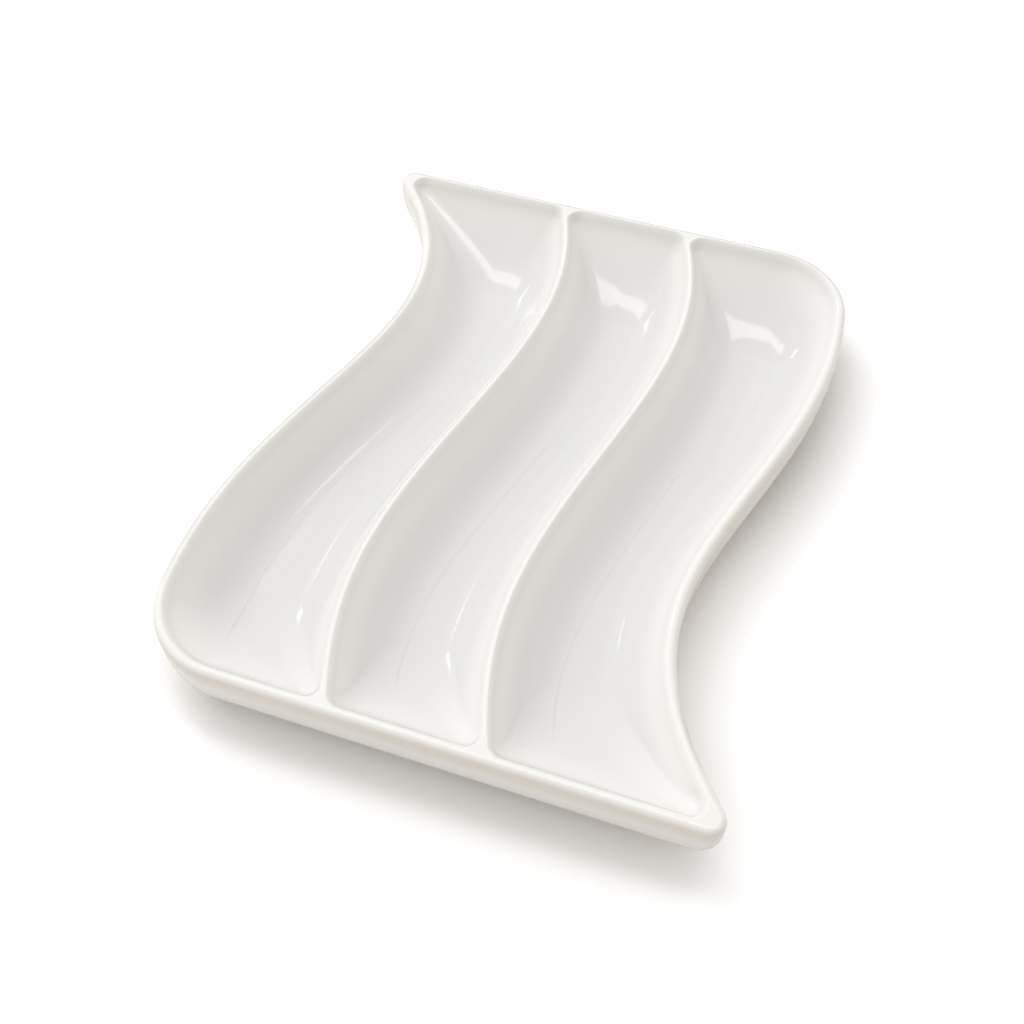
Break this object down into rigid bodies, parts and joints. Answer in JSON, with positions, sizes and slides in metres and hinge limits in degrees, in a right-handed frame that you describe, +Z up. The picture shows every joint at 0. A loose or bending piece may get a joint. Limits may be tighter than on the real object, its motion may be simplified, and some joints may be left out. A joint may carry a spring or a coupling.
{
  "type": "relish tray",
  "caption": "Flat porcelain serving tray with a wavy outline and side-by-side S-shaped wells for relishes, resting on an unglazed foot ring.",
  "frame": {"origin": "centre of the footprint on the surface that the tray stands on", "axes": "+Z up out of the wells, +Y along the wells towards the end with the sharp tip on the left, +X across the wells"},
  "size_m": [0.1932, 0.248, 0.028],
  "materials": {
    "glaze": "warm white gloss glaze over porcelain",
    "bare_foot": "unglazed, ground flat, matt"
  },
  "bodies": {
    "root": {"tray_body": "glaze", "foot_ring": "bare_foot"}
  },
  "joints": []
}
